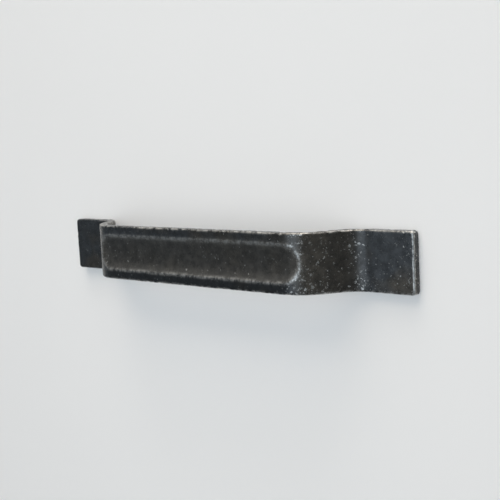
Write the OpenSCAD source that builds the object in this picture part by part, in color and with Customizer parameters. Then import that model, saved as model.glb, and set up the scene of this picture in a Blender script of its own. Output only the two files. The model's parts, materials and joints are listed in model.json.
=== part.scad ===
// Sash lift handle: a flat iron bar bent to a hat profile, held from behind by two machine screws.
// Millimetres. +X along the bar, +Y into the rail it is fixed to, +Z up across the bar's width.
// Origin on the mounting plane, midway between the two fixing centres.

/* [Bar] */
// Width of the flat bar, top edge to bottom edge
bar_width = 22; // [20:0.5:30]
// Thickness of the flat bar
bar_thickness = 3.4; // [3.4:0.1:4]
// Overall length of the handle, end to end
overall_length = 178; // [174:1:186]
// Projection of the grip's front face from the mounting plane
projection = 21.2; // [20.6:0.2:24]
// Size of the chamfer that eases the long edges and the end edges
edge_ease = 0.6; // [0.3:0.1:0.8]
// Corner radius of the feet as seen from the front
corner_radius = 1.4; // [1:0.1:3]

/* [Bends] */
// Half-length of the straight part of the grip
grip_flat_half = 45.4; // [42:0.2:46.4]
// Angle of the webs away from the grip
bend_angle = 59.5; // [56:0.5:62]
// Outer radius of the bend between grip and web
shoulder_radius = 16; // [14:0.5:17]
// Front radius of the bend between web and foot
toe_radius = 10.5; // [8:0.5:11]

/* [Scoop] */
// Width of the concave scoop along the front of the grip
scoop_width = 14; // [12:0.2:15]
// Depth of the scoop at its middle
scoop_depth = 1.8; // [1:0.1:2]

/* [Fixings] */
// Distance between the two fixing centres
fixing_centres = 160; // [156:1:164]
// Thickness of the rail between the feet and the washers
rail_thickness = 20; // [15:1:45]
// Nominal radius of the fixing screws, M4
screw_radius = 2; // [1.9:0.1:2]
// Depth of the blind tapped hole in each foot
tapped_depth = 2.6; // [2:0.1:2.6]
// Diameter of the pan head
head_diameter = 8; // [7:0.5:9]
// Height of the pan head
head_height = 2.4; // [2:0.1:3]
// Outside diameter of the plain washers
washer_diameter = 9; // [8.5:0.5:12]
// Thickness of the plain washers
washer_thickness = 0.8; // [0.5:0.1:1.2]

/* [Hidden] */
// fineness of curves
$fn = 96;
// how far the two bends together bring the bar towards the rail
bend_rise = (shoulder_radius + toe_radius) * (1 - cos(bend_angle));
// length of straight web left between the two bends on each side
web_length = (projection - bar_thickness - bend_rise) / sin(bend_angle);
// where the foot begins to lie flat, from the middle of the handle
foot_start = grip_flat_half + (shoulder_radius + toe_radius) * sin(bend_angle) + web_length * cos(bend_angle);
// length of the flat foot
foot_length = overall_length / 2 - foot_start;
// radius of the circle that cuts the scoop
scoop_radius = (pow(scoop_width / 2, 2) + pow(scoop_depth, 2)) / (2 * scoop_depth);
// radius of the screw thread where it bites in the foot (the M4 pitch radius)
bite_radius = screw_radius - 0.23;
// depth of the countersink at the mouth of a tapped hole
mouth_depth = 0.5;
// radius of the relieved neck under the head
neck_radius = screw_radius - 0.25;
// radius of the hole in a washer
washer_bore_radius = screw_radius + 0.15;
// end play left between the screw tip and the bottom of its hole
tip_play = 0.3;
// screwdriver slot: width and depth
slot_width = 1.2;
slot_depth = 1;
// radius that rounds the rim of the pan head
head_rim = 0.9;
// overlap used by cutting shapes so that they pass right through a face
cut = 1;

// ---- profile pieces ----

// a rectangle from (0, low) to (far, high) with its four corners chamfered
module chamfered_rectangle(far, low, high, chamfer) {
  polygon([
    [chamfer, low],
    [far - chamfer, low],
    [far, low + chamfer],
    [far, high - chamfer],
    [far - chamfer, high],
    [chamfer, high],
    [0, high - chamfer],
    [0, low + chamfer]
  ]);
}

// the bar's cross-section, thickness along x from 0 and width along y, edges eased
module bar_section() {
  chamfered_rectangle(bar_thickness, -bar_width / 2, bar_width / 2, edge_ease);
}

// a straight run of bar along +X, its front face at y = 0 and its back face at y = thickness
module straight_bar(run) {
  rotate([90, 0, 90]) linear_extrude(height = run) bar_section();
}

// a block that keeps what lies on the +Y side (side = 0) or on the -Y side (side = -1) of the XZ plane
module half_space(reach, side) {
  translate([-reach, side * reach, -bar_width]) cube([2 * reach, reach, 2 * bar_width]);
}

// the bar bent about the Z axis, from the +X axis round to the bend angle
module bent_bar(inner_radius) {
  reach = 2 * (inner_radius + bar_thickness);
  intersection() {
    rotate_extrude() translate([inner_radius, 0]) bar_section();
    half_space(reach, 0);
    rotate([0, 0, bend_angle]) half_space(reach, -1);
  }
}

// bend towards the rail, and whatever follows it along the bar
module shoulder_bend() {
  translate([0, shoulder_radius, 0]) {
    rotate([0, 0, -90]) bent_bar(shoulder_radius - bar_thickness);
    rotate([0, 0, bend_angle]) translate([0, -shoulder_radius, 0]) children();
  }
}

// straight web, and whatever follows it along the bar
module web() {
  straight_bar(web_length);
  translate([web_length, 0, 0]) children();
}

// bend back to lie flat on the rail, and whatever follows it along the bar
module toe_bend() {
  translate([0, -toe_radius, 0]) {
    rotate([0, 0, 90]) mirror([0, 1, 0]) bent_bar(toe_radius);
    rotate([0, 0, -bend_angle]) translate([0, toe_radius, 0]) children();
  }
}

// the outline of a foot as seen from the front, its free corners rounded
module foot_outline() {
  half_width = bar_width / 2;
  inner_half_width = half_width - corner_radius;
  translate([-cut, -half_width]) square([foot_length + cut - corner_radius, bar_width]);
  translate([-cut, -inner_half_width]) square([foot_length + cut, 2 * inner_half_width]);
  for (y = [-inner_half_width, inner_half_width]) {
    translate([foot_length - corner_radius, y]) circle(r = corner_radius);
  }
}

// flat foot with eased end edges and rounded corners
module foot() {
  intersection() {
    straight_bar(foot_length);
    translate([-cut, 0, -bar_width])
      linear_extrude(height = 2 * bar_width)
        chamfered_rectangle(foot_length + cut, 0, bar_thickness, edge_ease);
    translate([0, bar_width, 0])
      rotate([90, 0, 0])
        linear_extrude(height = 2 * bar_width)
          foot_outline();
  }
}

// everything on the +X side beyond the straight grip
module half_leg() {
  translate([grip_flat_half, -projection, 0]) shoulder_bend() web() toe_bend() foot();
}

// blind tapped hole in a foot, opening with a 45 degree countersink at the mounting plane
module tapped_hole(x) {
  translate([x, cut, 0]) rotate([90, 0, 0]) {
    cylinder(r = bite_radius, h = tapped_depth + cut);
    cylinder(r1 = bite_radius + mouth_depth + cut, r2 = bite_radius, h = mouth_depth + cut);
  }
}

// ---- sub-parts ----

module handle_bar() {
  color([0.07, 0.07, 0.075]) difference() {
    union() {
      translate([-grip_flat_half, -projection, 0]) straight_bar(2 * grip_flat_half);
      half_leg();
      mirror([1, 0, 0]) half_leg();
    }
    // concave scoop, a straight channel that runs out on the two shoulders
    translate([-foot_start, scoop_depth - projection - scoop_radius, 0])
      rotate([0, 90, 0])
        cylinder(r = scoop_radius, h = 2 * foot_start, $fn = 240);
    tapped_hole(-fixing_centres / 2);
    tapped_hole(fixing_centres / 2);
  }
}

// pan head, drawn with its flat underside at z = 0 and its top upwards
module pan_head() {
  difference() {
    rotate_extrude() {
      square([head_diameter / 2 - head_rim, head_height]);
      square([head_diameter / 2, head_height - head_rim]);
      translate([head_diameter / 2 - head_rim, head_height - head_rim]) circle(r = head_rim);
    }
    translate([-head_diameter, -slot_width / 2, head_height - slot_depth])
      cube([2 * head_diameter, slot_width, slot_depth + cut]);
  }
}

// slotted M4 pan-head machine screw from behind the rail into a foot
module fixing_screw(x) {
  tip = tapped_depth - tip_play;
  color([0.62, 0.6, 0.55]) translate([x, 0, 0]) rotate([-90, 0, 0]) {
    translate([0, 0, -tip]) cylinder(r = bite_radius, h = tip);
    cylinder(r = screw_radius, h = rail_thickness);
    translate([0, 0, rail_thickness]) cylinder(r = neck_radius, h = washer_thickness);
    translate([0, 0, rail_thickness + washer_thickness]) pan_head();
  }
}

// plain washer between the rail and the screw head
module washer(x) {
  color([0.66, 0.65, 0.62]) translate([x, rail_thickness, 0]) rotate([-90, 0, 0]) difference() {
    cylinder(d = washer_diameter, h = washer_thickness);
    translate([0, 0, -cut]) cylinder(r = washer_bore_radius, h = washer_thickness + 2 * cut);
  }
}

module fixing_screw_left() {
  fixing_screw(-fixing_centres / 2);
}

module fixing_screw_right() {
  fixing_screw(fixing_centres / 2);
}

module washer_left() {
  washer(-fixing_centres / 2);
}

module washer_right() {
  washer(fixing_centres / 2);
}

handle_bar();
fixing_screw_left();
fixing_screw_right();
washer_left();
washer_right();
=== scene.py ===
"""Looks for the sash lift handle: worn blackened iron bar, zinc screws and washers, pale wall and floor."""

import json
import math

import bpy
import numpy as np
from mathutils import Matrix, Vector


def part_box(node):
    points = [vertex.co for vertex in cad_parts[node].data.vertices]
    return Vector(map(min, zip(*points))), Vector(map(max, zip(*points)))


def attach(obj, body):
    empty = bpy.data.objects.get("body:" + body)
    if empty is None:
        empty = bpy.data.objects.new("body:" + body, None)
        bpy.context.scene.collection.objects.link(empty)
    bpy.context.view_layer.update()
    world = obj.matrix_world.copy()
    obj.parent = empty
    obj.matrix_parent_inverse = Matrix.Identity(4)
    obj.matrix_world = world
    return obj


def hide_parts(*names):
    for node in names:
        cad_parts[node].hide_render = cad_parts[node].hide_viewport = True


MM = 0.001

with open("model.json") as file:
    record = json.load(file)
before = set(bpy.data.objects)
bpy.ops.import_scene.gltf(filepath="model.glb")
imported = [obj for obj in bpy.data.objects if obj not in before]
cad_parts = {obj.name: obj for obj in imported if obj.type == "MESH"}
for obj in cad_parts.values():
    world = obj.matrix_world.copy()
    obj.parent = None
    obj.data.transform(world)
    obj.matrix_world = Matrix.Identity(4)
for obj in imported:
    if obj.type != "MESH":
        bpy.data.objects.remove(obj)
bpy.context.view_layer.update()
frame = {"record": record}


def cad_box(node):
    """A CAD node's lowest and highest corners, in millimetres to the nearest thousandth."""
    return [[round(v / MM, 3) for v in corner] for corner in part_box(node)]


bar_low, bar_high = cad_box("handle_bar")
washer_low, washer_high = cad_box("washer_right")
screw_low, screw_high = cad_box("fixing_screw_right")
mounts = {mount["name"]: mount for mount in frame["record"]["mounts"]}
studs = mounts["fixing_studs"]["dims"]

# ---- sizes, in millimetres ----

# the bar: its outer sizes come from the frame, the rest is as designed
LENGTH = bar_high[0] - bar_low[0]
WIDTH = bar_high[2] - bar_low[2]
PROJECTION = -bar_low[1]
THICKNESS = 3.4
GRIP_HALF = 45.4
BEND = math.radians(59.5)
SHOULDER_R = 16.0
TOE_R = 10.5
SCOOP_WIDTH = 14.0
SCOOP_DEPTH = 1.8
# its corners and edges, worn a little rounder than in the CAD model
CORNER_R = 1.5
EDGE_R = 0.8

# the fixings: their places and the screws' radius come from the frame, the rest is as designed
CENTRES = studs["spacing_x_mm"]
SCREW_R = studs["stud_r_mm"]
TIP_DEPTH = -screw_low[1]
RAIL = washer_low[1]
UNDER_HEAD = washer_high[1]
HEAD_TOP = screw_high[1]
BITE_R = SCREW_R - 0.23
NECK_R = SCREW_R - 0.25
HEAD_R = 4.0
HEAD_RIM = 0.9
HEAD_EDGE = 0.12
CROWN_RISE = 0.02
SLOT_WIDTH = 1.2
SLOT_DEPTH = 1.0
SLOT_EASE = 0.08
WASHER_R = 4.5
WASHER_BORE_R = SCREW_R + 0.15

# the M4 thread: its pitch, the depth of a full thread in pitches, and the share of that which is rolled
PITCH = 0.7
FULL_THREAD = 0.61
ROLLED_SHARE = 0.72
THREAD_FROM = -TIP_DEPTH + 0.3
THREAD_TO = RAIL - 0.5
THREAD_RUNOUT = 1.2
RINGS_PER_TURN = 10

# the countersunk mouth of each tapped hole
MOUTH_DEPTH = 0.5
MOUTH_R = BITE_R + MOUTH_DEPTH

# sides of a turned piece
SHANK_STEPS = 48
HEAD_STEPS = 72

# the bar's mesh in each direction: border at both ends, grid points in a border, and between them
LENGTH_GRID = (2.4, 17, 801)
DEPTH_GRID = (1.0, 7, 5)
WIDTH_GRID = (1.8, 14, 77)

# unevenness of the bar's surface: (size of the features, random seed), depths, and how far in from an edge
# its own wear fades away
WAVES = (6.0, 11)
GRAIN = (1.3, 12)
NICKS = (2.2, 13)
WAVE_DEPTH = 0.05
GRAIN_DEPTH = 0.02
NICK_DEPTH = 0.28
NICK_THRESHOLD = 0.25
SCOOP_GRAIN_DEPTH = 0.03
EDGE_ZONE = (0.3, 1.1)

# the scoop's rim: how softly it is rounded, the slightest push that counts, and how near an edge it may come
RIM_SOFTNESS = 0.16
RIM_TAIL = 0.01
RIM_BORDER = 0.6
# stands for the depth below the scoop's floor of a point that isn't on the front of the grip
NO_SCOOP = -9.0

# the camera found for the photograph: degrees and millimetres
CAMERA_AZIMUTH = 42.4
CAMERA_ELEVATION = 6.9
CAMERA_ROLL = -2.9
CAMERA_DISTANCE = 371.2
CAMERA_TARGET = (21.6, -10.0, 2.5)
CAMERA_LENS = 72.07
CAMERA_SENSOR = 36.0
CAMERA_CLIP_START = 10.0


# ---- small helpers ----


def value_noise(points, cell, seed):
    """Smooth random values in -1..1 at points (n x 3), with features about cell wide."""
    rng = np.random.default_rng(seed)
    size = 64
    lattice = rng.uniform(-1.0, 1.0, (size, size, size))
    # the shift keeps every point on the positive side of the lattice
    q = np.asarray(points, float) / cell + 1000.0
    base = np.floor(q).astype(int)
    f = q - base
    f = f * f * (3.0 - 2.0 * f)
    total = np.zeros(len(q))
    for dx in (0, 1):
        for dy in (0, 1):
            for dz in (0, 1):
                weight = (
                    (f[:, 0] if dx else 1 - f[:, 0])
                    * (f[:, 1] if dy else 1 - f[:, 1])
                    * (f[:, 2] if dz else 1 - f[:, 2])
                )
                corner = lattice[
                    (base[:, 0] + dx) % size,
                    (base[:, 1] + dy) % size,
                    (base[:, 2] + dz) % size,
                ]
                total += weight * corner
    return total


def smooth_step(x, low, high):
    """0 below low, 1 above high, smooth between."""
    t = np.clip((np.asarray(x, float) - low) / (high - low), 0.0, 1.0)
    return t * t * (3.0 - 2.0 * t)


def bell(x, width):
    """1 where x is 0, falling away on both sides within about width."""
    return np.exp(-((x / width) ** 2))


def make_object(name, verts, faces, material, smooth=True):
    """A mesh object from millimetre vertices, riding on the part's one body."""
    mesh = bpy.data.meshes.new(name)
    mesh.from_pydata((np.asarray(verts) * MM).tolist(), [], faces)
    mesh.validate()
    mesh.materials.append(material)
    for p in mesh.polygons:
        p.use_smooth = smooth
    mesh.update()
    obj = bpy.data.objects.new(name, mesh)
    bpy.context.scene.collection.objects.link(obj)
    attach(obj, "root")
    return obj


def add_attribute(obj, name, values):
    """A float attribute on the mesh's vertices, for a material to read."""
    attribute = obj.data.attributes.new(name, "FLOAT", "POINT")
    attribute.data.foreach_set("value", np.asarray(values, np.float32))


# ---- the bar's shape ----

# length of straight web between the two bends, and where the foot begins along X
WEB = (PROJECTION - THICKNESS - (SHOULDER_R + TOE_R) * (1 - math.cos(BEND))) / math.sin(BEND)
FOOT_START = GRIP_HALF + (SHOULDER_R + TOE_R) * math.sin(BEND) + WEB * math.cos(BEND)
# path lengths along the front face, from the middle of the grip
S_SHOULDER = GRIP_HALF
S_WEB = S_SHOULDER + SHOULDER_R * BEND
S_TOE = S_WEB + WEB
S_FOOT = S_TOE + TOE_R * BEND
S_END = S_FOOT + LENGTH / 2 - FOOT_START
# radius of the circle that the scoop's section follows
SCOOP_R = ((SCOOP_WIDTH / 2) ** 2 + SCOOP_DEPTH**2) / (2 * SCOOP_DEPTH)


def front_path(s):
    """Place and outward normal of the bar's front face at path length s (x, y, normal x, normal y)."""
    side = np.sign(s)
    a = np.abs(s)
    x, y = a.copy(), np.full_like(a, -PROJECTION)
    angle = np.zeros_like(a)
    # round the shoulder bend
    on = a > S_SHOULDER
    t = np.clip(a - S_SHOULDER, 0, SHOULDER_R * BEND) / SHOULDER_R
    x = np.where(on, GRIP_HALF + SHOULDER_R * np.sin(t), x)
    y = np.where(on, -PROJECTION + SHOULDER_R * (1 - np.cos(t)), y)
    angle = np.where(on, t, angle)
    # down the web
    w = np.clip(a - S_WEB, 0, WEB)
    x = x + w * math.cos(BEND)
    y = y + w * math.sin(BEND)
    # round the toe bend, and out along the foot
    u = np.clip(a - S_TOE, 0, TOE_R * BEND) / TOE_R
    x = x + np.where(a > S_TOE, TOE_R * (math.sin(BEND) - np.sin(BEND - u)), 0)
    y = y + np.where(a > S_TOE, TOE_R * (np.cos(BEND - u) - math.cos(BEND)), 0)
    angle = np.where(a > S_TOE, BEND - u, angle)
    x = x + np.clip(a - S_FOOT, 0, None)
    return side * x, y, side * np.sin(angle), -np.cos(angle)


def grid_line(low, high, border, border_points, middle_points):
    """Places from low to high, closer together within border of each end."""
    return np.concatenate(
        [
            np.linspace(low, low + border, border_points)[:-1],
            np.linspace(low + border, high - border, middle_points)[:-1],
            np.linspace(high - border, high, border_points),
        ]
    )


def slab_points():
    """A closed grid over a flat slab as long as the bar's path: points (s, depth, z) and quads."""
    lines = (
        grid_line(-S_END, S_END, *LENGTH_GRID),
        grid_line(0, THICKNESS, *DEPTH_GRID),
        grid_line(-WIDTH / 2, WIDTH / 2, *WIDTH_GRID),
    )
    index = {}
    verts = []
    faces = []

    def vertex(key):
        """The number of the vertex at a place in the grid, which is made when it is first asked for."""
        if key not in index:
            index[key] = len(verts)
            verts.append([line[k] for line, k in zip(lines, key)])
        return index[key]

    def face_rows(axis, at):
        """Vertex numbers of one of the slab's six sides, row by row."""
        down, across = (i for i in range(3) if i != axis)
        rows = []
        for i in range(len(lines[down])):
            row = []
            for j in range(len(lines[across])):
                key = [at, at, at]
                key[down] = i
                key[across] = j
                row.append(vertex(tuple(key)))
            rows.append(row)
        return rows

    for axis in (1, 0, 2):
        for at in (0, len(lines[axis]) - 1):
            rows = face_rows(axis, at)
            for a, b in zip(rows[:-1], rows[1:]):
                for i in range(len(a) - 1):
                    quad = (a[i], b[i], b[i + 1], a[i + 1])
                    faces.append(quad if at == 0 else quad[::-1])
    return np.array(verts), faces


def round_edges(p):
    """Moves the slab's points onto its rounded form. Returns points and unit normals in slab axes."""
    core_s, core_z = S_END - EDGE_R, WIDTH / 2 - EDGE_R
    plan_r = CORNER_R - EDGE_R
    core = p.copy()
    core[:, 0] = np.clip(p[:, 0], -core_s, core_s)
    core[:, 2] = np.clip(p[:, 2], -core_z, core_z)
    # the core's own corners, rounded in plan
    cs = np.clip(core[:, 0], -(core_s - plan_r), core_s - plan_r)
    cz = np.clip(core[:, 2], -(core_z - plan_r), core_z - plan_r)
    ds, dz = core[:, 0] - cs, core[:, 2] - cz
    reach = np.hypot(ds, dz)
    scale = np.where(reach > plan_r, plan_r / np.maximum(reach, 1e-9), 1.0)
    core[:, 0], core[:, 2] = cs + ds * scale, cz + dz * scale
    core[:, 1] = np.clip(p[:, 1], EDGE_R, THICKNESS - EDGE_R)
    away = p - core
    normal = away / np.maximum(np.linalg.norm(away, axis=1, keepdims=True), 1e-9)
    return core + EDGE_R * normal, normal


def unevenness(p, near_edge):
    """How far each point is worn inwards, so that the bar stays in its box, and the fine grain alone."""
    slow = 0.5 + 0.5 * value_noise(p * (0.5, 1, 1), *WAVES)
    fine = 0.5 + 0.5 * value_noise(p, *GRAIN)
    nick = np.clip(value_noise(p, *NICKS) - NICK_THRESHOLD, 0, None)
    on_edges = near_edge * (WAVE_DEPTH * slow + NICK_DEPTH * nick)
    return WAVE_DEPTH * slow + GRAIN_DEPTH * fine + on_edges, fine


def scoop_floor(z):
    """The y of the concave scoop's floor at height z."""
    inside = np.clip(SCOOP_R**2 - z**2, 0, None)
    return SCOOP_DEPTH - PROJECTION - SCOOP_R + np.sqrt(inside)


def bar_mesh():
    """Vertices, faces and shading attributes of the whole bar, with scoop, wear and forged unevenness."""
    slab, faces = slab_points()
    p, normal = round_edges(slab)
    front_half = slab[:, 1] < THICKNESS / 2
    # distance of each point from the two ends of the flat bar, and from the nearest part of its outline
    end_gap = S_END - np.abs(p[:, 0])
    edge_gap = np.minimum(WIDTH / 2 - np.abs(p[:, 2]), end_gap)
    near_edge = 1 - smooth_step(edge_gap, *EDGE_ZONE)
    inward, fine = unevenness(p, near_edge)
    edge = edge_wear(p, normal, front_half, end_gap, edge_gap, near_edge)
    p = p - normal * inward[:, None]
    # bend the flat bar along its path
    x, y, nx, ny = front_path(p[:, 0])
    bx, by = x - nx * p[:, 1], y - ny * p[:, 1]
    bz = p[:, 2]
    # the scoop: push the front face back to the scoop's floor, with a softly worn rim
    front = front_half & (np.abs(p[:, 0]) < S_WEB) & (edge_gap > RIM_BORDER)
    gap = np.where(front, scoop_floor(bz) - SCOOP_GRAIN_DEPTH * fine - by, NO_SCOOP)
    push = 0.5 * (gap + np.sqrt(gap**2 + RIM_SOFTNESS**2)) - RIM_TAIL
    by = by + np.where(front, np.clip(push, 0, None), 0.0)
    # countersunk mouths of the two tapped holes in the backs of the feet
    back = slab[:, 1] == THICKNESS
    for side in (-1, 1):
        from_hole = np.hypot(bx - side * CENTRES / 2, bz)
        by = by - np.where(back, np.clip(MOUTH_R - from_hole, 0, MOUTH_DEPTH), 0.0)
    shading = {"edge": edge, **finish_and_painted_light(bx, bz, normal, gap, front)}
    return np.column_stack([bx, by, bz]), faces, shading


# ---- where the bar's finish changes and where light and shade are painted into it, for its material to read ----

# the start and end of each change, in millimetres along X from the middle of the handle; the near foot is
# the one towards +X, and the far foot the one towards -X
GRIP_ENDS = (44, 52)
RUB_STARTS = (47, 51)
RUB_FADES = (58.5, 60.5)
WEB_STARTS = (47, 55)
WEB_ENDS = (62, 72)
NEAR_FOOT_STARTS = (68, 74)
FAR_FOOT_STARTS = (60, 66)
# the same, along the bar's path
FAR_EDGE_FADES = (62, 72)
# a rubbed patch low on each toe bend: its middle and its half-width
TOE_PATCH = 67.5
TOE_PATCH_WIDTH = 2.0
# width of the worn rim of the scoop, how much wider it is at its near end, and width of the painted
# reflection by it
RIM_WIDTH = 0.32
RIM_WIDER = 0.06
REFLECTION_BAND_WIDTH = 0.8
# how near an end a front edge is worn bright, and where the brighter border of the bar's faces fades
END_BORDER = 1.4
BORDER_ZONE = (0.8, 1.3)


def edge_wear(p, normal, front_half, end_gap, edge_gap, near_edge):
    """How bare the edges are: most at the front of both ends, less at the back, least on the far foot."""
    oblique = 1 - np.abs(normal).max(axis=1)
    crest = smooth_step(oblique, 0.0, 0.13)
    narrow_side = 0.25 * smooth_step(np.abs(normal[:, 2]), 0.8, 1.0) * near_edge
    faces_in_or_out = smooth_step(np.abs(normal[:, 1]), 0.7, 0.95)
    border = 0.4 * (1 - smooth_step(edge_gap, *BORDER_ZONE)) * faces_in_or_out
    edge = np.clip(np.maximum(np.maximum(crest, narrow_side), border), 0, 1)
    edge = edge * np.where(front_half, 1 + 1.2 * (end_gap < END_BORDER), 0.5)
    return edge * (1 - 0.6 * smooth_step(-p[:, 0], *FAR_EDGE_FADES))


def finish_and_painted_light(bx, bz, normal, gap, front):
    """The other shading attributes, from each point's place and its depth below the scoop's floor."""
    from_middle = np.abs(bx)
    # the rim is worn a little along its sides and most at its near end
    near_end = smooth_step(bx, GRIP_HALF - 1.0, GRIP_HALF + 5.0)
    rim = bell(gap, RIM_WIDTH + RIM_WIDER * near_end) * (0.6 + 0.4 * near_end) * front
    # painted reflection: a paler strip just inside the scoop's upper edge, where it faces down
    reflection_band = bell(gap, REFLECTION_BAND_WIDTH) * front * smooth_step(bz, 0, 4)
    # the outside of each shoulder bend is rubbed most, then a patch low on each toe bend; the feet and the
    # rest of the webs are rubbed a quarter as much
    rubbed = smooth_step(from_middle, *RUB_STARTS) * (1 - 0.75 * smooth_step(from_middle, *RUB_FADES))
    rubbed += 0.7 * bell(from_middle - TOE_PATCH, TOE_PATCH_WIDTH) * smooth_step(-bz, 0, 6)
    # the patina is paler on the near foot and where it is rubbed, and darker on the end faces; the paler
    # strip by the scoop's upper rim is a painted reflection, and the darker lower strip of the grip is
    # painted shade
    near_foot = smooth_step(bx, *NEAR_FOOT_STARTS)
    # painted shade: the patina is made darker along the lower strip of the grip
    bottom_shade = smooth_step(-bz, 6.5, 7.5) * (1 - smooth_step(from_middle, *GRIP_ENDS))
    end_face = smooth_step(np.abs(normal[:, 0]), 0.8, 1.0)
    tone_and_painted_light = 0.95 + 0.75 * near_foot - 0.45 * bottom_shade + 0.5 * rubbed + 0.6 * reflection_band
    return {
        "rim": rim,
        "scoop": np.where(front, smooth_step(gap, -0.05, 0.2), 0.0),
        "web": smooth_step(from_middle, *WEB_STARTS) * (1 - smooth_step(from_middle, *WEB_ENDS)),
        "rubbed": rubbed,
        "tone_and_painted_light": tone_and_painted_light * (1 - 0.6 * end_face),
        "calm": smooth_step(-bx, *FAR_FOOT_STARTS),
    }


# ---- materials ----

# patina on the flats, where it is browner, and in the scoop; iron where it is dull and where it is bright
BLUE_BLACK = (0.019, 0.021, 0.023, 1)
BROWN_BLACK = (0.030, 0.025, 0.018, 1)
SCOOP_BLACK = (0.035, 0.032, 0.027, 1)
DULL_IRON = (0.34, 0.33, 0.31, 1)
BRIGHT_IRON = (0.80, 0.78, 0.74, 1)
# share of the chips' cells that hold a chip: anywhere, what rubbing and edges add, what the far foot lacks
CHIPS_ANYWHERE = 0.09
CHIPS_WHERE_RUBBED = 0.9
CHIPS_ON_EDGES = 0.25
CHIPS_LACKING = 0.9
# the two sizes of chip: cells per metre, and the largest chip's radius in cells
LARGE_CHIPS = (620.0, 0.36)
SMALL_CHIPS = (1350.0, 0.40)
# zinc plating, and the share of its colour that it keeps where it is stained
SCREW_ZINC = (0.62, 0.60, 0.54)
WASHER_ZINC = (0.60, 0.60, 0.58)
STAIN = (0.62, 0.6, 0.55)
# the two shades of each paint
WALL_COLOURS = ((0.83, 0.81, 0.785, 1), (0.87, 0.85, 0.825, 1))
FLOOR_COLOURS = ((0.80, 0.79, 0.78, 1), (0.86, 0.85, 0.83, 1))


class Nodes:
    """A short way to write a material's node tree. Noise scales are features per metre."""

    def __init__(self, material):
        material.use_nodes = True
        self.tree = material.node_tree
        self.tree.nodes.clear()

    def add(self, kind, inputs=None, **settings):
        node = self.tree.nodes.new(kind)
        for key, value in settings.items():
            setattr(node, key, value)
        for key, value in (inputs or {}).items():
            self.put(node.inputs[key], value)
        return node

    def put(self, socket, value):
        if isinstance(value, bpy.types.NodeSocket):
            self.tree.links.new(value, socket)
        else:
            socket.default_value = value

    def math(self, operation, a, b):
        return self.add("ShaderNodeMath", {0: a, 1: b}, operation=operation).outputs[0]

    def plus(self, a, b):
        return self.math("ADD", a, b)

    def minus(self, a, b):
        return self.math("SUBTRACT", a, b)

    def times(self, a, b):
        return self.math("MULTIPLY", a, b)

    def larger(self, a, b):
        return self.math("MAXIMUM", a, b)

    def scaled(self, vector, factor):
        node = self.add("ShaderNodeVectorMath", {0: vector, "Scale": factor}, operation="SCALE")
        return node.outputs[0]

    def ramp(self, value, low, high, out_low=0.0, out_high=1.0):
        """out_low where value is low or less, out_high where it is high or more, smooth between."""
        node = self.add("ShaderNodeMapRange", interpolation_type="SMOOTHSTEP")
        self.put(node.inputs["Value"], value)
        self.put(node.inputs["From Min"], low)
        self.put(node.inputs["From Max"], high)
        self.put(node.inputs["To Min"], out_low)
        self.put(node.inputs["To Max"], out_high)
        return node.outputs[0]

    def mix(self, factor, a, b):
        return self.add("ShaderNodeMix", {0: factor, 6: a, 7: b}, data_type="RGBA").outputs[2]

    def place(self):
        """Where a point is on the object, in metres."""
        return self.add("ShaderNodeTexCoord").outputs["Object"]

    def noise(self, where, scale, detail=3.0, rough=0.55):
        inputs = {"Vector": where, "Scale": scale, "Detail": detail, "Roughness": rough}
        return self.add("ShaderNodeTexNoise", inputs).outputs[0]

    def attribute(self, name):
        return self.add("ShaderNodeAttribute", attribute_name=name).outputs["Fac"]

    def bump(self, height, strength, distance):
        inputs = {"Strength": strength, "Distance": distance, "Height": height}
        return self.add("ShaderNodeBump", inputs).outputs[0]

    def principled(self, inputs):
        return self.add("ShaderNodeBsdfPrincipled", inputs).outputs[0]

    def surface(self, shader):
        self.add("ShaderNodeOutputMaterial", {"Surface": shader})


def chips(n, where, cells_per_metre, largest, density):
    """One layer of small ragged chips: 1 where bare. density is the share of cells that hold one."""
    cells = n.add("ShaderNodeTexVoronoi", {"Vector": where, "Scale": cells_per_metre, "Randomness": 1.0})
    split = n.add("ShaderNodeSeparateColor", {"Color": cells.outputs["Color"]})
    held = n.math("LESS_THAN", split.outputs[0], density)
    radius = n.ramp(split.outputs[1], 0.0, 1.0, 0.25 * largest, largest)
    inside = n.ramp(n.minus(radius, cells.outputs["Distance"]), 0.0, 0.08)
    strength = n.ramp(split.outputs[2], 0.0, 1.0, 0.45, 1.0)
    return n.times(n.times(inside, held), strength)


def bare_metal_flecks(n, where, density):
    """Chips through the patina in two sizes, in clusters."""
    wobble = n.add("ShaderNodeTexNoise", {"Vector": where, "Scale": 1800.0, "Detail": 2.0})
    shift = n.scaled(wobble.outputs["Color"], 0.0015)
    ragged = n.add("ShaderNodeVectorMath", {0: where, 1: shift}, operation="ADD").outputs[0]
    clusters = n.ramp(n.noise(where, 130.0, rough=0.6), 0.36, 0.66, 0.15, 1.7)
    density = n.times(density, clusters)
    large = chips(n, ragged, *LARGE_CHIPS, n.times(density, 0.8))
    small = chips(n, ragged, *SMALL_CHIPS, density)
    return n.larger(large, n.times(small, 0.8))


def iron_wear(n, where, patchy):
    """Where the bar is bare metal, 0 to 1, and its flecks alone."""
    edge = n.attribute("edge")
    # bare metal along the eased edges and round the scoop, broken up into patches
    edge_bare = n.ramp(n.times(edge, n.ramp(patchy, 0.34, 0.62, 0.2, 1.0)), 0.15, 0.95, 0.0, 0.8)
    rim_bare = n.times(n.attribute("rim"), n.ramp(patchy, 0.38, 0.64, 0.12, 0.9))
    density = n.plus(CHIPS_ANYWHERE, n.times(n.attribute("rubbed"), CHIPS_WHERE_RUBBED))
    density = n.plus(density, n.times(edge, CHIPS_ON_EDGES))
    density = n.times(density, n.minus(1.0, n.times(n.attribute("calm"), CHIPS_LACKING)))
    flecks = bare_metal_flecks(n, where, density)
    return n.larger(n.larger(edge_bare, rim_bare), n.times(flecks, 0.85)), flecks


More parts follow.
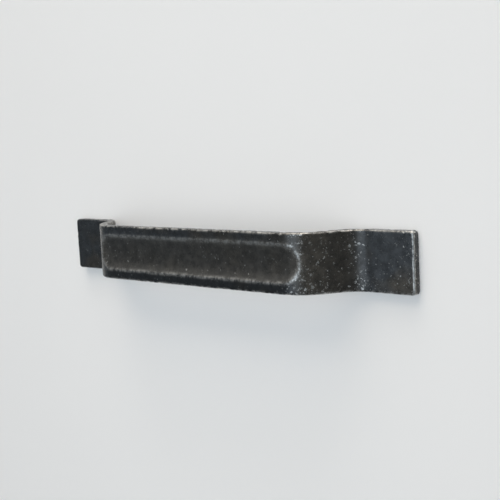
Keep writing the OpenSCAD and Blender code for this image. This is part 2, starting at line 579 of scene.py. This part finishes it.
def iron_patina(n, where):
    """Patina colour: blue-black on the flats, browner on the webs and in the scoop, mottled all over, and
    scaled by an attribute that also holds a painted reflection and painted shade.
    """
    warm = n.ramp(n.noise(where, 60.0, detail=2.0), 0.45, 0.7)
    warm = n.larger(n.times(warm, 0.6), n.times(n.attribute("web"), 0.7))
    patina = n.mix(warm, BLUE_BLACK, BROWN_BLACK)
    patina = n.mix(n.times(n.attribute("scoop"), 0.7), patina, SCOOP_BLACK)
    mottle = n.ramp(n.noise(where, 300.0, detail=6.0, rough=0.75), 0.36, 0.66, 0.8, 1.6)
    # this scale holds a painted reflection and painted shade as well as the patina's own paler and darker
    # places
    return n.scaled(patina, n.times(mottle, n.attribute("tone_and_painted_light")))


def blackened_iron():
    """Near-black waxed patina over grey metal, which shows on edges, rims and in silver flecks."""
    material = bpy.data.materials.new("blackened_iron")
    n = Nodes(material)
    where = n.place()
    patchy = n.noise(where, 420.0, detail=4.0, rough=0.6)
    grain = n.noise(where, 1500.0, rough=0.6)
    bare, flecks = iron_wear(n, where, patchy)
    metal = n.mix(n.ramp(grain, 0.3, 0.7), DULL_IRON, BRIGHT_IRON)
    rough = n.plus(n.ramp(patchy, 0.3, 0.7, 0.23, 0.36), n.times(n.minus(grain, 0.5), 0.16))
    height = n.plus(n.times(patchy, 0.7), n.times(grain, 0.3))
    height = n.minus(height, n.times(flecks, 0.25))
    shader = n.principled(
        {
            "Base Color": n.mix(bare, iron_patina(n, where), metal),
            "Metallic": n.ramp(bare, 0.0, 0.6, 0.3, 1.0),
            "Roughness": n.plus(rough, n.times(bare, 0.12)),
            "Normal": n.bump(height, strength=0.3, distance=0.0001),
        }
    )
    n.surface(shader)
    return material


def zinc_plate(name, tint, streaks):
    """Satin zinc plating with small stains and fine marks. streaks is the number of marks to a metre."""
    material = bpy.data.materials.new(name)
    n = Nodes(material)
    where = n.place()
    stains = n.noise(where, 500.0, detail=4.0, rough=0.6)
    stained = [channel * kept for channel, kept in zip(tint, STAIN)]
    shader = n.principled(
        {
            "Base Color": n.mix(n.ramp(stains, 0.35, 0.7), (*tint, 1), (*stained, 1)),
            "Metallic": 1.0,
            "Roughness": n.ramp(stains, 0.3, 0.7, 0.27, 0.45),
            "Normal": n.bump(n.noise(where, streaks, detail=2.0), strength=0.2, distance=0.00005),
        }
    )
    n.surface(shader)
    return material


def wall_paint():
    """Pale warm paint. It is clear from behind and lets light through, so that the handle's back is seen."""
    material = bpy.data.materials.new("wall_paint")
    n = Nodes(material)
    where = n.place()
    colour = n.mix(n.noise(where, 6.0, detail=2.0), *WALL_COLOURS)
    bump = n.bump(n.noise(where, 260.0), strength=0.08, distance=0.0003)
    paint = n.principled({"Base Color": colour, "Roughness": 0.75, "Normal": bump})
    clear = n.add("ShaderNodeBsdfTransparent").outputs[0]
    facing = n.add("ShaderNodeNewGeometry").outputs["Backfacing"]
    shadow = n.add("ShaderNodeLightPath").outputs["Is Shadow Ray"]
    both = n.add("ShaderNodeMixShader", {0: n.larger(facing, shadow), 1: paint, 2: clear})
    n.surface(both.outputs[0])
    return material


def floor_paint():
    """Plain pale floor."""
    material = bpy.data.materials.new("floor_paint")
    n = Nodes(material)
    colour = n.mix(n.noise(n.place(), 4.0), *FLOOR_COLOURS)
    n.surface(n.principled({"Base Color": colour, "Roughness": 0.6}))
    return material


# ---- sub-parts ----


def build_handle_bar(material):
    """The whole bent bar, standing for the CAD bar."""
    verts, faces, shading = bar_mesh()
    bar = make_object("handle_bar_worn", verts, faces, material)
    for name, values in shading.items():
        add_attribute(bar, name, values)
    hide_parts("handle_bar")


def lathe(profile, steps, x, closed=False, radius_at=None):
    """Vertices and faces of a (radius, y) profile turned about Y at x. radius_at can vary the radius."""
    verts, faces = [], []
    for radius, y in profile:
        for i in range(steps):
            a = 2 * math.pi * i / steps
            r = radius if radius_at is None else radius_at(radius, y, a)
            verts.append((r * math.cos(a) + x, y, r * math.sin(a)))
    rows = len(profile)
    for j in range(rows if closed else rows - 1):
        for i in range(steps):
            k = (i + 1) % steps
            low, high = j * steps, (j + 1) % rows * steps
            faces.append((low + i, low + k, high + k, high + i))
    if not closed:
        faces.append(tuple(range(steps))[::-1])
        faces.append(tuple((rows - 1) * steps + i for i in range(steps)))
    return np.array(verts), faces


def thread_radius(radius, y, angle):
    """Radius of the screw's rolled thread at height y and turn angle."""
    if y < THREAD_FROM or y > THREAD_TO:
        return radius
    turn = (y / PITCH - angle / (2 * math.pi)) % 1.0
    # a triangle wave with its crests and roots cut flat
    depth = FULL_THREAD * PITCH * np.clip(abs(2 * turn - 1) * 1.25 - 0.1, 0, 1)
    fade = np.clip((THREAD_TO - y) / THREAD_RUNOUT, 0, 1)
    return radius - depth * fade * ROLLED_SHARE


def shank_profile():
    """The screw's shank as (radius, y): tapered tip, thread, relieved neck."""
    rings = np.arange(THREAD_FROM, THREAD_TO, PITCH / RINGS_PER_TURN)
    tip = [(BITE_R - 0.45, -TIP_DEPTH), (BITE_R - 0.1, -TIP_DEPTH + 0.25)]
    thread = [(BITE_R if y < 0 else SCREW_R - 0.01, y) for y in rings]
    neck = [(NECK_R, RAIL - 0.3), (NECK_R, UNDER_HEAD + 0.05)]
    return tip + thread + neck


def head_profile():
    """The pan head as (radius, y): an eased lower edge, a rounded rim, a slightly domed top."""
    edge = [(HEAD_R - HEAD_EDGE, UNDER_HEAD), (HEAD_R, UNDER_HEAD + HEAD_EDGE)]
    rim = []
    for a in np.linspace(0, math.pi / 2, 9):
        rim.append((HEAD_R - HEAD_RIM * (1 - math.cos(a)), HEAD_TOP - HEAD_RIM * (1 - math.sin(a))))
    crown = [(r, HEAD_TOP - CROWN_RISE * (r / 3) ** 2) for r in (2.2, 1.2, 0.3)]
    return edge + rim + crown


def build_screw(name, node, x, material):
    """Slotted pan-head screw: the shank, which stands for the CAD screw, and the head with its cut slot."""
    verts, faces = lathe(shank_profile(), SHANK_STEPS, x, radius_at=thread_radius)
    shank = make_object(name + "_shank", verts, faces, material)
    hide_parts(node)
    verts, faces = lathe(head_profile(), HEAD_STEPS, x)
    head = make_object(name + "_head", verts, faces, material)
    cut_slot(head, x)


def slot_cutter(x):
    """A block as wide as the screwdriver slot, longer than the head, through its top."""
    low = (x - 2 * HEAD_R, HEAD_TOP - SLOT_DEPTH, -SLOT_WIDTH / 2)
    high = (x + 2 * HEAD_R, HEAD_TOP + 1.0, SLOT_WIDTH / 2)
    corners = [(a, b, c) for a in (low[0], high[0]) for b in (low[1], high[1]) for c in (low[2], high[2])]
    faces = [(0, 1, 3, 2), (4, 6, 7, 5), (0, 4, 5, 1), (2, 3, 7, 6), (0, 2, 6, 4), (1, 5, 7, 3)]
    mesh = bpy.data.meshes.new("slot_cutter")
    mesh.from_pydata((np.array(corners) * MM).tolist(), [], faces)
    cutter = bpy.data.objects.new("slot_cutter", mesh)
    bpy.context.scene.collection.objects.link(cutter)
    return cutter


def cut_slot(head, x):
    """Cuts the screwdriver slot into a screw head, along X, and eases the new edges."""
    cutter = slot_cutter(x)
    cut = head.modifiers.new("slot", "BOOLEAN")
    cut.operation = "DIFFERENCE"
    cut.object = cutter
    cut.solver = "EXACT"
    bpy.context.view_layer.update()
    depsgraph = bpy.context.evaluated_depsgraph_get()
    result = bpy.data.meshes.new_from_object(head.evaluated_get(depsgraph))
    head.modifiers.clear()
    head.data = result
    bpy.data.objects.remove(cutter)
    ease = head.modifiers.new("ease", "BEVEL")
    ease.width = SLOT_EASE * MM
    ease.segments = 2
    ease.limit_method = "ANGLE"
    ease.angle_limit = math.radians(35)


def build_washer(name, node, x, material):
    """Plain pressed washer: one edge rolled over, the other nearly sharp."""
    low, high = RAIL, UNDER_HEAD
    profile = [
        (WASHER_BORE_R, high - 0.05),
        (WASHER_BORE_R, low + 0.2),
        (WASHER_BORE_R + 0.08, low + 0.05),
        (WASHER_BORE_R + 0.2, low),
        (WASHER_R - 0.25, low),
        (WASHER_R - 0.1, low + 0.06),
        (WASHER_R, low + 0.25),
        (WASHER_R, high - 0.06),
        (WASHER_R - 0.06, high),
        (WASHER_BORE_R + 0.05, high),
    ]
    verts, faces = lathe(profile, HEAD_STEPS, x, closed=True)
    washer = make_object(name, verts, faces, material, smooth=False)
    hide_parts(node)


def build_fixings():
    """Both screws and both washers, standing for the CAD ones."""
    zinc = zinc_plate("zinc_screw", SCREW_ZINC, 2600.0)
    steel = zinc_plate("zinc_washer", WASHER_ZINC, 1800.0)
    for side, x in (("left", -CENTRES / 2), ("right", CENTRES / 2)):
        build_screw("screw_" + side, "fixing_screw_" + side, x, zinc)
        build_washer("washer_" + side + "_pressed", "washer_" + side, x, steel)


# ---- stage, light and camera, in metres ----

WALL_MIDDLE = (0, 0.0002, 0.35)
WALL_HALF_WIDTH = 2.5
WALL_HALF_HEIGHT = 1.15
FLOOR_MIDDLE = (0, 0, -0.8)
FLOOR_HALF = 40.0
ALONG_X, ALONG_Y, ALONG_Z = (1, 0, 0), (0, 1, 0), (0, 0, 1)
# every soft light points here
LIGHTS_AIM = Vector((0, 0, 0))
WARM = (1.0, 0.87, 0.72)
FAINTLY_WARM = (1.0, 0.96, 0.90)
NEARLY_WHITE = (1.0, 0.98, 0.95)
WHITE = (1.0, 0.99, 0.99)
DAYLIGHT = (0.76, 0.88, 1.0)
SKY = (0.80, 0.91, 1.0, 1)
SKY_STRENGTH = 0.25
BACKDROP = (0.645, 0.665, 0.67, 1)
OVERHEAD_STRENGTH = 2.0
OVERHEAD_SPREAD = math.radians(40)


def plane(name, centre, right, up, half_width, half_height, material):
    """A flat stage plane, facing along right x up."""
    c, r, u = Vector(centre), Vector(right) * half_width, Vector(up) * half_height
    mesh = bpy.data.meshes.new(name)
    mesh.from_pydata([c - r - u, c + r - u, c + r + u, c - r + u], [], [(0, 1, 2, 3)])
    mesh.materials.append(material)
    obj = bpy.data.objects.new(name, mesh)
    bpy.context.scene.collection.objects.link(obj)
    return obj


def area_light(name, place, size, power, colour):
    """A soft rectangular light that points at the handle."""
    light = bpy.data.lights.new(name, "AREA")
    light.shape = "RECTANGLE"
    light.size, light.size_y = size
    light.energy = power
    light.color = colour
    obj = bpy.data.objects.new(name, light)
    obj.location = place
    obj.rotation_mode = "QUATERNION"
    obj.rotation_quaternion = (LIGHTS_AIM - Vector(place)).to_track_quat("-Z", "Y")
    obj.visible_camera = False
    bpy.context.scene.collection.objects.link(obj)
    return obj


def build_world():
    """Dim cool light from all round, with a plain pale background behind the floor."""
    world = bpy.data.worlds.new("studio")
    world.use_nodes = True
    tree = world.node_tree
    light = tree.nodes["Background"]
    light.inputs[0].default_value = SKY
    light.inputs[1].default_value = SKY_STRENGTH
    backdrop = tree.nodes.new("ShaderNodeBackground")
    backdrop.inputs[0].default_value = BACKDROP
    path = tree.nodes.new("ShaderNodeLightPath")
    both = tree.nodes.new("ShaderNodeMixShader")
    tree.links.new(path.outputs["Is Camera Ray"], both.inputs[0])
    tree.links.new(light.outputs[0], both.inputs[1])
    tree.links.new(backdrop.outputs[0], both.inputs[2])
    tree.links.new(both.outputs[0], tree.nodes["World Output"].inputs[0])
    bpy.context.scene.world = world


def build_stage():
    """Pale wall that the handle is fixed to, and a pale floor that no reflection or bounced light shows."""
    plane("wall", WALL_MIDDLE, ALONG_X, ALONG_Z, WALL_HALF_WIDTH, WALL_HALF_HEIGHT, wall_paint())
    floor = plane("floor", FLOOR_MIDDLE, ALONG_X, ALONG_Y, FLOOR_HALF, FLOOR_HALF, floor_paint())
    floor.visible_glossy = False
    floor.visible_diffuse = False


def build_lights():
    """Soft light. The key and the overhead sun make the shadows; the window and the fill cast none."""
    area_light("key", place=(0.0, -1.0, 1.7), size=(2.0, 1.3), power=20.5, colour=WARM)
    window = area_light("window", place=(0.03, -0.9, 0.14), size=(0.5, 0.6), power=2.95, colour=DAYLIGHT)
    window.data.use_shadow = False
    fill = area_light("fill", place=(0.3, -1.2, -0.1), size=(1.5, 1.0), power=3.9, colour=WHITE)
    fill.data.use_shadow = False
    fill.visible_glossy = False
    # this one is seen only in reflections
    sheen = area_light("sheen", place=(-0.61, -0.61, 0.5), size=(0.5, 0.5), power=0.55, colour=FAINTLY_WARM)
    sheen.visible_diffuse = False
    area_light("back_fill", place=(-0.5, 0.8, 0.45), size=(0.8, 0.6), power=8.0, colour=NEARLY_WHITE)
    overhead = bpy.data.lights.new("overhead", "SUN")
    overhead.energy = OVERHEAD_STRENGTH
    overhead.angle = OVERHEAD_SPREAD
    bpy.context.scene.collection.objects.link(bpy.data.objects.new("overhead", overhead))


def build_camera():
    """The camera at the photograph's viewing angle."""
    a, e = math.radians(CAMERA_AZIMUTH), math.radians(CAMERA_ELEVATION)
    roll = math.radians(CAMERA_ROLL)
    back = Vector((math.sin(a) * math.cos(e), -math.cos(a) * math.cos(e), math.sin(e)))
    right = (-back).cross(Vector((0, 0, 1))).normalized()
    up = right.cross(-back)
    rolled_right = right * math.cos(roll) + up * math.sin(roll)
    rolled_up = -right * math.sin(roll) + up * math.cos(roll)
    turn = Matrix((rolled_right, rolled_up, back)).transposed()
    place = Vector(CAMERA_TARGET) * MM + back * (CAMERA_DISTANCE * MM)
    data = bpy.data.cameras.new("camera")
    data.lens = CAMERA_LENS
    data.sensor_width = CAMERA_SENSOR
    data.clip_start = CAMERA_CLIP_START * MM
    camera = bpy.data.objects.new("camera", data)
    camera.matrix_world = Matrix.Translation(place) @ turn.to_4x4()
    bpy.context.scene.collection.objects.link(camera)
    bpy.context.scene.camera = camera


build_handle_bar(blackened_iron())
build_fixings()
build_stage()
build_world()
build_lights()
build_camera()
# colours come out as they are lit, without a film look
bpy.context.scene.view_settings.view_transform = "Standard"
